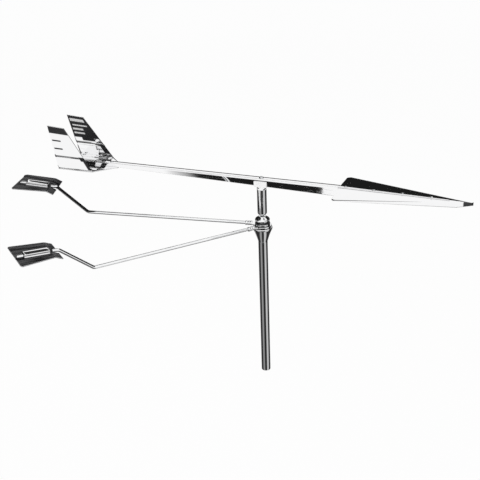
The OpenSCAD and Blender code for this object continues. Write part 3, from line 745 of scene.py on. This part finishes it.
def head_grid():
    """The head's upper face: at each station the half width falls in a straight line to
    the point, less the round of the rear corner. Across, the face slopes down from its
    centre line, turns through a small fold and ends in the rim."""
    length = nose - head_low[0]
    half_rear = head_high[1] + head_widen
    lean = math.atan2(half_rear, length)
    t = np.concatenate([[0.0, 0.15, 0.5, 1.0, 1.7, 2.6, 3.6], np.linspace(5, length - 20, 44),
                        length - 20 + 19.7 * np.linspace(0, 1, 18) ** 0.9])
    x = head_low[0] + t
    side = half_rear * (nose - x) / length
    centre_y = half_rear - math.tan(lean) * head_corner - head_corner / math.cos(lean)
    into = np.clip(head_corner - t, 0, head_corner)
    rounded = centre_y + np.sqrt(np.clip(head_corner ** 2 - into ** 2, 0, None))
    in_corner = t < head_corner * (1 - math.sin(lean)) + 1e-6
    half = np.where(in_corner, np.minimum(rounded, side), side)
    half = np.maximum(half, point_half) - rim_flare
    to_nose = nose - x
    rim = np.where(to_nose > peak_back,
                   rim_peak + (rim_rear - rim_peak) * (to_nose - peak_back) / (length - peak_back),
                   rim_point + (rim_peak - rim_point) * np.clip(to_nose / peak_back, 0, 1) ** 0.8)
    across = np.linspace(0, 1, 15)
    turn_r = np.minimum(head_fold_r, half * 0.3)[:, None]
    turn_at = arc((0, 0), 1, 90, 0, 5)[None, 1:]
    half = np.maximum(half, 0.1)[:, None]
    fall = np.maximum(rim[:, None] - turn_r, 0.05) * np.array([[0.3, 0.7, 1.0]])
    y = np.concatenate([across * (half - turn_r), half - turn_r + turn_r * turn_at[..., 0],
                        half + fall * math.tan(rim_draft)], 1)
    z_roof = -roof * y[:, :len(across)]
    z_edge = z_roof[:, -1:] - turn_r
    z = np.concatenate([z_roof, z_edge + turn_r * turn_at[..., 1], z_edge - fall], 1)
    y = np.concatenate([-y[:, :0:-1], y], 1)
    z = np.concatenate([z[:, :0:-1], z], 1)
    return np.stack([x[:, None] + 0 * y, y, head_level(x)[:, None] + z], -1)[:, ::-1]


def coated_sheet(name):
    """A copy of the bright sheet to coat, with its shader, a wire on Object coordinates,
    and the wires of its colour and its roughness."""
    material = bright_sheet.copy()
    material.name = name
    shader = material.node_tree.nodes["Principled BSDF"]
    place = Wire(shader.outputs[0]).node("ShaderNodeTexCoord", out=3)
    tint, gloss = [Wire(shader.inputs[socket].links[0].from_socket)
                   for socket in ("Base Color", "Roughness")]
    return material, shader, place, tint, gloss


head = sheet_piece("head_of_arrow", head_grid(), head_sheet)
dipped_sheet, shader, place, tint, gloss = coated_sheet("sheet_with_dipped_point")
station = place.node("ShaderNodeSeparateXYZ", {}, {"Vector": place})
dip_from = (nose - dip_len) / 1000
dip = station.step(dip_from - 0.0005, dip_from + 0.0005)
feed(shader, Base_Color=dip.between(tint, (0.012, 0.012, 0.013, 1)), Roughness=gloss + dip * 0.2,
     Metallic=1 - dip)
finish_piece(head, dipped_sheet, "vane", "bright_sheet", "arrowhead")

cast_weight, shader, place = new_material("dull_cast_weight", Metallic=0.9)
grit = place.noise(0.6, detail=5.0)
feed(shader, Base_Color=grit.between((0.20, 0.20, 0.21, 1), (0.40, 0.40, 0.42, 1)),
     Roughness=0.5 + grit * 0.25, height=(grit, 0.12))
clothe("nose_weight", cast_weight)


# ---- Tail plate ----
# A flat sheet riveted under the rear of the channel. It flares at its front, at a half
# right angle, from the channel's width to the fins' width.

plate_sheet, plate_flare = 0.8, 20.0


def plate_grid():
    """The plate's upper face: straight across, with a half width that grows from the
    channel's to the fins' along the flare and then stays."""
    start, end = plate_high[0], plate_low[0]
    x = np.concatenate([start - np.linspace(0, plate_flare, 14),
                        np.linspace(start - plate_flare - 1, end, 20)])
    half = beam_half + (plate_high[1] - beam_half) * np.clip((start - x) / plate_flare, 0, 1)
    y = np.outer(half, np.linspace(1, -1, 21))
    return np.stack([x[:, None] + 0 * y, y, plate_high[2] + 0 * y], -1)[::-1]


plate = sheet_piece("plate_of_tail", plate_grid(), plate_sheet)
finish_piece(plate, bright_sheet, "vane", "bright_sheet", "tail_plate")


# ---- Fins ----
# Two swept fins of bright sheet, each folded out of its own foot, which is riveted on the tail plate,
# with a pressed bead low down. They are screen printed with light bars inside and short dark marks
# outside. The other dark coats are painted reflection and shade: inside, a dark upper part under the
# light bars, and dark lines and corners below; outside, a dark band along the top, a line at the bead
# and dark corners low at the front.

fin_front, fin_rear = plate_high[0] - plate_flare, plate_low[0]
fin_rise, fin_sweep, fin_top, fin_tip_up = 42.75, 30.0, 19.4, 1.4
fin_lean, fin_foot, fin_sheet, fin_fold_r = math.radians(4.1), 6.0, 0.8, 0.9
foot_tuck_front, foot_tuck_rear = 3.0, 2.1
bead_at, bead_half, bead_out = 0.30, 0.9, 0.45


def fin_grid(side):
    """A fin's outer face, for side 1 to port and -1 to starboard. Along v it comes out
    along the foot, turns up through a fold and climbs the leaning panel, which swells at
    the bead by a bell curve. Along u it goes from the leading to the trailing edge."""
    r = fin_fold_r
    foot = np.linspace(0, 1, 6)
    fold = np.radians(np.linspace(-90, 0, 7))[1:]
    climb = np.concatenate([np.linspace(0.03, bead_at - 0.05, 8),
                            np.linspace(bead_at - 0.04, bead_at + 0.04, 13),
                            np.linspace(bead_at + 0.06, 1, 22)])
    bead = bead_out * np.exp(-((climb - bead_at) * fin_rise / bead_half) ** 2)
    out = np.concatenate([-fin_foot + (fin_foot - r) * foot, -r + r * np.cos(fold),
                          -math.tan(fin_lean) * fin_rise * climb + bead])
    up = np.concatenate([0 * foot, r + r * np.sin(fold), fin_rise * climb])
    share = np.concatenate([0 * foot, 0 * fold, climb])
    tuck = np.concatenate([1 - foot, 0 * fold, 0 * climb])
    u = np.linspace(0, 1, 22)[:, None]
    lead = fin_front - fin_sweep * share - foot_tuck_front * tuck
    trail = fin_rear + (fin_front - fin_sweep - fin_top - fin_rear) * share + foot_tuck_rear * tuck
    x = lead + (trail - lead) * u
    y = side * (plate_high[1] + out) + 0 * x
    z = plate_high[2] + clear + up + fin_tip_up * share * u
    grid = np.stack([x, y, z], -1)
    fields = {"climb": np.broadcast_to(share, x.shape), "chord": np.broadcast_to(u, x.shape)}
    if side > 0:
        grid, fields = grid[:, ::-1], {k: f[:, ::-1] for k, f in fields.items()}
    return grid, fields


def marked_sheet(name, *coats):
    """Bright sheet coated over with flat colours in turn: print, and dark coats that are painted
    reflection and shade. A coat is its colour and its bars. Each bar is the middle of its climb, its
    half height, and the shares of the chord at which it starts and ends. A bar's edges are smooth steps,
    and a fine noise leaves pinholes."""
    material, shader, place, tint, gloss = coated_sheet(name)
    shader.inputs["Specular IOR Level"].default_value = 0.15
    climb, chord = place.field("climb"), place.field("chord")
    speck = place.noise(1.0, detail=4.0)
    whole = (1.3 - speck * 0.5).least(1.0)
    blur_up, blur_on = 0.005, 0.012
    covered = speck * 0.0
    for coat_colour, bars in coats:
        mask = speck * 0.0
        for middle, half, begin, end in bars:
            bar = (climb - middle).size().step(half + blur_up, half - blur_up)
            bar = bar * chord.step(begin - blur_on, begin + blur_on)
            mask = mask.most(bar * chord.step(end + blur_on, end - blur_on))
        mask = mask * whole
        tint = mask.between(tint, speck.between(coat_colour, [c * 0.8 for c in coat_colour[:3]] + [1]))
        covered = covered.most(mask)
    gloss = gloss + (speck * 0.14 + 0.16 - gloss) * covered
    feed(shader, Base_Color=tint, Roughness=gloss, Metallic=1 - covered)
    return material


# The dark colour is painted reflection and shade in every bar but the two short marks outside, which are
# print. The light bars are print.
dark_print_and_painted_reflection, light_ink = (0.022, 0.022, 0.024, 1), (0.86, 0.86, 0.86, 1)
fin_outside = marked_sheet("sheet_print_and_painted_reflection_outside", (dark_print_and_painted_reflection, [
    (0.915, 0.080, 0.0, 1.0), (0.665, 0.017, 0.56, 0.95), (0.475, 0.017, 0.62, 0.95),
    (0.305, 0.008, -0.1, 1.1), (0.15, 0.14, -0.1, 0.09), (0.27, 0.05, -0.1, 0.16)]))
fin_inside = marked_sheet("sheet_print_and_painted_reflection_inside", (dark_print_and_painted_reflection, [
    (0.735, 0.280, -0.1, 1.1), (0.43, 0.05, 0.22, 0.70), (0.37, 0.010, -0.1, 0.20),
    (0.325, 0.008, 0.30, 1.1), (0.20, 0.115, -0.1, 0.17), (0.025, 0.022, -0.1, 0.30)]), (light_ink, [
        (0.895, 0.035, 0.14, 0.92), (0.765, 0.016, 0.16, 0.88), (0.665, 0.024, 0.45, 0.93),
        (0.565, 0.020, 0.48, 0.93)]))
for side, name in ((1, "port"), (-1, "starboard")):
    grid, fields = fin_grid(side)
    piece = sheet_piece(f"{name}_tail_fin", grid, fin_sheet, fields=fields)
    finish_piece(piece, fin_outside, "vane", "bright_sheet", f"{name}_fin")
    piece.data.materials.append(fin_inside)
    piece.modifiers["thickness"].material_offset = 1


# ---- Rivets ----
# Every riveted joint has low domed heads above and flat set heads below, of stainless steel:
# four along the tongue and the head, three along the tail, and two through each fin's foot.

rivet_r, rivet_shank_r, rivet_rim, rivet_dome = 1.7, 1.0, 0.12, 0.4
set_head_r, set_head_deep, set_head_chamfer = 1.5, 0.5, 0.3


def rivet_points(x, y, top, bottom):
    """One rivet as a turned form: flat set head, shank, and a domed head whose height is
    a root of one less the square of its radius."""
    set_low = bottom - set_head_deep
    lower = [[0, set_low], [set_head_r - set_head_chamfer, set_low],
             [set_head_r, set_low + set_head_chamfer / 2], [set_head_r, bottom],
             [rivet_shank_r, bottom], [rivet_shank_r, top], [rivet_r, top], [rivet_r, top + rivet_rim]]
    dome = np.stack([np.linspace(rivet_r - 0.1, 0, 7),
                     top + rivet_rim + rivet_dome * np.sqrt(1 - np.linspace(0.94, 0, 7) ** 2)], 1)
    profile = np.vstack([lower, dome])
    a = np.linspace(0, 2 * np.pi, 28, endpoint=False)
    r, z = profile[:, :1], profile[:, 1:]
    return np.stack([x + r * np.cos(a), y + r * np.sin(a), z + 0 * a], -1)


def rivets(name, places, node):
    """A row of rivets as one piece, each given by x, y, and its joint's top and bottom."""
    piece = mesh_piece(name, *joined(*((rivet_points(*place), True) for place in places)))
    finish_piece(piece, ground_steel, "vane", "polished_steel", node)


head_rivet_x = np.linspace(head_low[0] + 6, beam_high[0] - 16, 4)
rivets("rivets_of_head", [(x, 0, head_level(x) + clear + beam_sheet, head_level(x) - 0.8)
                          for x in head_rivet_x], "head_rivets")
tail_rivet_x = np.linspace(plate_high[0] - 9, beam_low[0] + 6, 3)
rivets("rivets_of_tail", [(x, 0, beam_top, plate_low[2]) for x in tail_rivet_x], "tail_rivets")
foot_y, foot_top = plate_high[1] - fin_foot * 0.55, plate_high[2] + clear + fin_sheet
rivets("rivets_of_fins", [(x, side * foot_y, foot_top, plate_low[2])
                          for side in (1, -1) for x in (fin_front - 8, fin_rear + 6)], "fin_rivets")


# ---- Studio ----
# A pale floor well below the part, a white surround, a soft lamp, and black flags beside the
# set. Only mirror rays see the flags: they draw the dark lines in the bright metal. The
# camera's, lamp's and target's places are in metres.

camera_distance, camera_elevation, camera_roll, camera_turn = 0.9112, 24.9, -2.1, 22.0
focal_length, sensor_width = 67.5, 36
look_along, look_up = -0.0232, 0.1545
turn = Matrix.Rotation(math.radians(camera_turn), 3, "Z")
lift = math.radians(camera_elevation)
target = turn @ Vector((look_along, 0, 0)) + Vector((0, 0, look_up))
ahead = turn @ Vector((0, math.cos(lift), -math.sin(lift)))
camera = bpy.data.objects.new("camera", bpy.data.cameras.new("camera"))
bpy.context.collection.objects.link(camera)
level = ahead.to_track_quat("-Z", "Y").to_matrix().to_4x4()
roll = Matrix.Rotation(math.radians(camera_roll), 4, "Z")
camera.matrix_world = Matrix.Translation(target - ahead * camera_distance) @ level @ roll
camera.data.lens, camera.data.sensor_width = focal_length, sensor_width
bpy.context.scene.camera = camera
bpy.context.scene.view_settings.view_transform = "Standard"


def direct_rays(start):
    """1 for rays from the camera and for mirror and glass rays, and 0 for the rest."""
    camera_ray, mirror_ray, glass_ray = [start.node("ShaderNodeLightPath", out=k) for k in (0, 3, 6)]
    return camera_ray.most(mirror_ray).most(glass_ray)


plain_light, backdrop_light = 0.86, 0.985
world = bpy.data.worlds.new("surround")
bpy.context.scene.world = world
world.use_nodes = True
background = world.node_tree.nodes["Background"]
background.inputs["Color"].default_value = (1, 1, 1, 1)
strength = direct_rays(Wire(background.outputs[0])) * (backdrop_light - plain_light) + plain_light
world.node_tree.links.new(strength.socket, background.inputs["Strength"])


def stage_piece(name, points, faces, material, shade=None):
    """A piece of the set, with a shade per point that its material may read."""
    piece = mesh_piece(name, points, np.asarray(faces), None if shade is None else {"shade": shade})
    piece.data.materials.append(material)
    return piece


floor_level, floor_half, floor_glow = -450.0, 9000.0, 0.88
paper, shader, place = new_material("pale_paper", Roughness=0.9)
tree = paper.node_tree
glow = place.node("ShaderNodeEmission", {}, {"Color": (1, 1, 1, 1), "Strength": 1.0})
fibres = place.noise(40, detail=3.0)
feed(shader, Base_Color=fibres.between((0.965, 0.965, 0.965, 1), (0.975, 0.975, 0.975, 1)))
mixed = place.node("ShaderNodeMixShader", {}, {
    0: direct_rays(place) * floor_glow, 1: Wire(shader.outputs[0]), 2: glow})
tree.links.new(mixed.socket, tree.nodes["Material Output"].inputs["Surface"])
corners = np.array([(-1, -1, 0), (1, -1, 0), (1, 1, 0), (-1, 1, 0)]) * floor_half
stage_piece("floor", corners + [0, 0, floor_level], [[0, 1, 2, 3]], paper)

flag_cloth, shader, place = new_material("flag_cloth")
tree = flag_cloth.node_tree
# The card's glow follows its shade, from near black to white: a painted reflection that the bright metal
# mirrors.
card_shade_glow = place.field("shade").between((0.012, 0.012, 0.012, 1), (1, 1, 1, 1))
glow = place.node("ShaderNodeEmission", {}, {"Color": card_shade_glow})
tree.links.new(glow.socket, tree.nodes["Material Output"].inputs["Surface"])


def card(name, points, shade):
    """A card of flag cloth, from a grid of points, that only mirror rays see."""
    piece = stage_piece(name, points, grid_faces(*points.shape[:2], False), flag_cloth, shade)
    piece.visible_camera = False
    piece.visible_diffuse = False
    piece.visible_shadow = False
    piece.visible_transmission = False


def flag(name, reach, about, *knots):
    """A dark card that hangs round the set. Its knots are an azimuth, a lowest and a
    highest elevation and a shade, seen from a height on the mast's axis, with straight
    runs between them. Azimuth 0 is straight away from the camera and 90 is to its right,
    and shade 0 is black. Each point lies at the reach, or just over the floor where that
    comes first."""
    fine = np.linspace(0, len(knots) - 1, 8 * (len(knots) - 1) + 1)
    azimuth, low, high, shade = [np.interp(fine, np.arange(len(knots)), k) for k in zip(*knots)]
    lift = np.radians(low + (high - low) * np.linspace(0, 1, 9)[:, None])
    heading = np.radians(90 + camera_turn - azimuth)
    way = np.stack([np.cos(heading) * np.cos(lift), np.sin(heading) * np.cos(lift), np.sin(lift)], -1)
    down = np.maximum(-np.sin(lift), 1e-6)
    distance = np.minimum(reach, (about - floor_level - 12) / down)
    card(name, np.array([0, 0, about]) + way * distance[..., None], np.broadcast_to(shade, lift.shape))


vane_height, hub_height, nut_height = 216, 180, 172
ring_foot = -80
flag("flag_beyond", 4000, vane_height,
     (-62, -20, 14, 0), (-14, -20, 17.2, 0), (8, -20, 19.0, 0), (44, -20, 19.6, 0))
flag("flag_beam_side", 4000, vane_height,
     (-128.2, -22.6, -19.0, 1), (-130.8, -22.6, -18.6, 0.25), (-131.4, -22.8, -18.6, 0),
     (-143.3, -23.2, -18.8, 0), (-143.9, -22.6, -20.5, 0.05))
flag("flag_ring", 1500, hub_height, *[(azimuth, ring_foot, high, shade) for azimuth, high, shade in (
    (-180, -20.0, 0.01), (-158, -20.0, 0.02), (-151, -20.6, 0.26), (-147, -21.2, 0.26),
    (-144, -22.4, 0.26), (-114, -22.4, 0.30), (-106, -21.6, 0.02), (-48, -16, 0.01),
    (-30, -16, 0.30), (-4, -16, 0.30), (10, -16, 0.02), (98, -20, 0.02), (107, -20, 0.55),
    (148, -20, 0.55), (156, -20, 0.02), (180, -20, 0.01))])
flag("flag_left", 3000, vane_height, (-114, 0, 74, 0), (-40, -8, 74, 0), (-24, 8, 60, 0))
flag("flag_right", 3000, vane_height,
     (26, 6, 34, 0), (40, -14, 52, 0), (78, -14, 46, 0), (110, -14, 20, 0))
flag("flag_over_tabs", 4000, vane_height,
     (-17, 30.5, 46, 0.02), (-8, 30.5, 50, 0.02), (3, 30.5, 62, 0.02), (16, 34, 62, 0.02))
flag("flag_near_hub_right", 110, nut_height, (98, 0, 17, 0), (150, 0, 16, 0))

slope_card_r, slope_card_from, slope_card_to, slope_card_open = 11.0, -21, 23, (-70, 215)


def slope_card():
    """A narrow dark card bent round the port arm's slope: an open ring square to the slope,
    drawn out along it."""
    slope = math.atan2(crank_rise, crank_run)
    middle = np.array([bend_at + crank_run / 2 + 1, rod_top + bend_level + crank_rise / 2 + 1])
    a = np.radians(np.linspace(*slope_card_open, 48))
    along = np.linspace(slope_card_from, slope_card_to, 3)[:, None]
    x = middle[0] + math.cos(slope) * along - math.sin(slope) * slope_card_r * np.sin(a)
    z = middle[1] + math.sin(slope) * along + math.cos(slope) * slope_card_r * np.sin(a)
    return placed(np.stack([x, -slope_card_r * np.cos(a) + 0 * x, z], -1), ARMS["port"])


points = slope_card()
card("flag_round_slope", points, np.zeros(points.shape[:2]))

lamp_size, lamp_power, lamp_place = 2.4, 12.0, turn @ Vector((-1.2, -1.4, 2.4))
lamp = bpy.data.objects.new("soft_lamp", bpy.data.lights.new("soft_lamp", "AREA"))
bpy.context.collection.objects.link(lamp)
lamp.data.size, lamp.data.energy = lamp_size, lamp_power
facing = lamp_place.to_track_quat("Z", "Y").to_matrix().to_4x4()
lamp.matrix_world = Matrix.Translation(lamp_place) @ facing
lamp.visible_glossy = False
